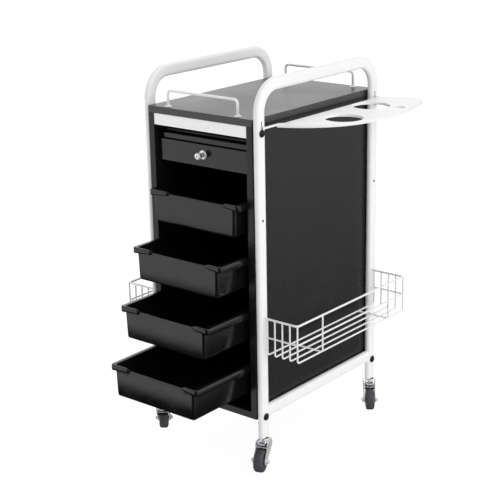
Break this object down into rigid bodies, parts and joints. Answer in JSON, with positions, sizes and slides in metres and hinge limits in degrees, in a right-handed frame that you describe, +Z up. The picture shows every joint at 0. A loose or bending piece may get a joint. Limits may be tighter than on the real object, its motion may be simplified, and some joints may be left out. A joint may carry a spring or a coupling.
{
  "type": "salon trolley",
  "caption": "White tube-framed salon cart on swivel casters: black cabinet with a locking drawer, pull-out trays, wire side baskets and an appliance holder.",
  "frame": {"origin": "on the floor, at the middle of the whole object's width and depth with the trays pulled out as at rest", "axes": "+Z up, -Y the way the drawers open, +X the side that carries the appliance holder"},
  "size_m": [0.5464, 0.6396, 0.8565],
  "materials": {
    "white_paint": "satin powder coat",
    "black_board": "high gloss laminate on board",
    "black_tray": "high gloss moulding",
    "black_matt": "matt",
    "chrome": "bright plated",
    "tyre_rubber": "satin grey-black tread"
  },
  "bodies": {
    "frame": {"back_panel": "black_board", "bolt_lower_front_left": "black_matt", "bolt_lower_front_right": "black_matt", "bolt_lower_rear_left": "black_matt", "bolt_lower_rear_right": "black_matt", "bolt_upper_front_left": "black_matt", "bolt_upper_front_right": "black_matt", "bolt_upper_rear_left": "black_matt", "bolt_upper_rear_right": "black_matt", "bottom_panel": "black_board", "caster_front_left_stem": "chrome", "caster_front_right_stem": "chrome", "caster_rear_left_stem": "chrome", "caster_rear_right_stem": "chrome", "front_cross_bar": "white_paint", "front_rail": "white_paint", "left_basket": "white_paint", "left_lower_rail": "white_paint", "left_panel": "black_board", "left_side_frame": "white_paint", "lock_strike": "black_matt", "rear_rail": "white_paint", "right_basket": "white_paint", "right_lower_rail": "white_paint", "right_panel": "black_board", "right_side_frame": "white_paint", "runner_1_left": "black_matt", "runner_1_right": "black_matt", "runner_2_left": "black_matt", "runner_2_right": "black_matt", "runner_3_left": "black_matt", "runner_3_right": "black_matt", "runner_4_left": "black_matt", "runner_4_right": "black_matt", "runner_5_left": "black_matt", "runner_5_right": "black_matt", "worktop": "black_board"},
    "drawer_1": {"drawer_1_tray": "black_tray", "drawer_1_front": "black_tray", "lock_barrel": "chrome"},
    "lock": {"lock_knob": "chrome", "lock_cam": "chrome"},
    "tray_2": {"tray_2": "black_tray"},
    "tray_3": {"tray_3": "black_tray"},
    "tray_4": {"tray_4": "black_tray"},
    "tray_5": {"tray_5": "black_tray"},
    "holder": {"tool_holder": "white_paint"},
    "caster_front_right": {"caster_front_right_fork": "chrome", "caster_front_right_axle": "chrome"},
    "wheel_front_right": {"caster_front_right_wheel": "tyre_rubber"},
    "caster_front_left": {"caster_front_left_fork": "chrome", "caster_front_left_axle": "chrome"},
    "wheel_front_left": {"caster_front_left_wheel": "tyre_rubber"},
    "caster_rear_right": {"caster_rear_right_fork": "chrome", "caster_rear_right_axle": "chrome"},
    "wheel_rear_right": {"caster_rear_right_wheel": "tyre_rubber"},
    "caster_rear_left": {"caster_rear_left_fork": "chrome", "caster_rear_left_axle": "chrome"},
    "wheel_rear_left": {"caster_rear_left_wheel": "tyre_rubber"}
  },
  "joints": [
    {"name": "drawer_1_slide", "type": "slide", "parent": "frame", "child": "drawer_1", "axis": [0, -1, 0], "range_m": [0, 0.28]},
    {"name": "lock_turn", "type": "hinge", "parent": "drawer_1", "child": "lock", "pos_m": [-0.02776, -0.1368, 0.683], "axis": [0, -1, 0], "range_deg": [0, 90]},
    {"name": "tray_2_slide", "type": "slide", "parent": "frame", "child": "tray_2", "axis": [0, -1, 0], "range_m": [-0.047, 0.233]},
    {"name": "tray_3_slide", "type": "slide", "parent": "frame", "child": "tray_3", "axis": [0, -1, 0], "range_m": [-0.1065, 0.1735]},
    {"name": "tray_4_slide", "type": "slide", "parent": "frame", "child": "tray_4", "axis": [0, -1, 0], "range_m": [-0.152, 0.128]},
    {"name": "tray_5_slide", "type": "slide", "parent": "frame", "child": "tray_5", "axis": [0, -1, 0], "range_m": [-0.1905, 0.0895]},
    {"name": "holder_lift", "type": "slide", "parent": "frame", "child": "holder", "axis": [0, 0, 1], "range_m": [0, 0.008]},
    {"name": "swivel_front_right", "type": "hinge", "parent": "frame", "child": "caster_front_right", "pos_m": [0.12254, -0.1343, 0.06], "axis": [0, 0, 1], "continuous": true},
    {"name": "spin_front_right", "type": "hinge", "parent": "caster_front_right", "child": "wheel_front_right", "pos_m": [0.13003, -0.15604, 0.0255], "axis": [-0.9455, -0.3256, 0], "continuous": true},
    {"name": "swivel_front_left", "type": "hinge", "parent": "frame", "child": "caster_front_left", "pos_m": [-0.17806, -0.1343, 0.06], "axis": [0, 0, 1], "continuous": true},
    {"name": "spin_front_left", "type": "hinge", "parent": "caster_front_left", "child": "wheel_front_left", "pos_m": [-0.19253, -0.11642, 0.0255], "axis": [0.7771, 0.6293, 0], "continuous": true},
    {"name": "swivel_rear_right", "type": "hinge", "parent": "frame", "child": "caster_rear_right", "pos_m": [0.12254, 0.2757, 0.06], "axis": [0, 0, 1], "continuous": true},
    {"name": "spin_rear_right", "type": "hinge", "parent": "caster_rear_right", "child": "wheel_rear_right", "pos_m": [0.13701, 0.25783, 0.0255], "axis": [-0.7771, -0.6293, 0], "continuous": true},
    {"name": "swivel_rear_left", "type": "hinge", "parent": "frame", "child": "caster_rear_left", "pos_m": [-0.17806, 0.2757, 0.06], "axis": [0, 0, 1], "continuous": true},
    {"name": "spin_rear_left", "type": "hinge", "parent": "caster_rear_left", "child": "wheel_rear_left", "pos_m": [-0.18956, 0.25579, 0.0255], "axis": [-0.866, 0.5, 0], "continuous": true}
  ]
}
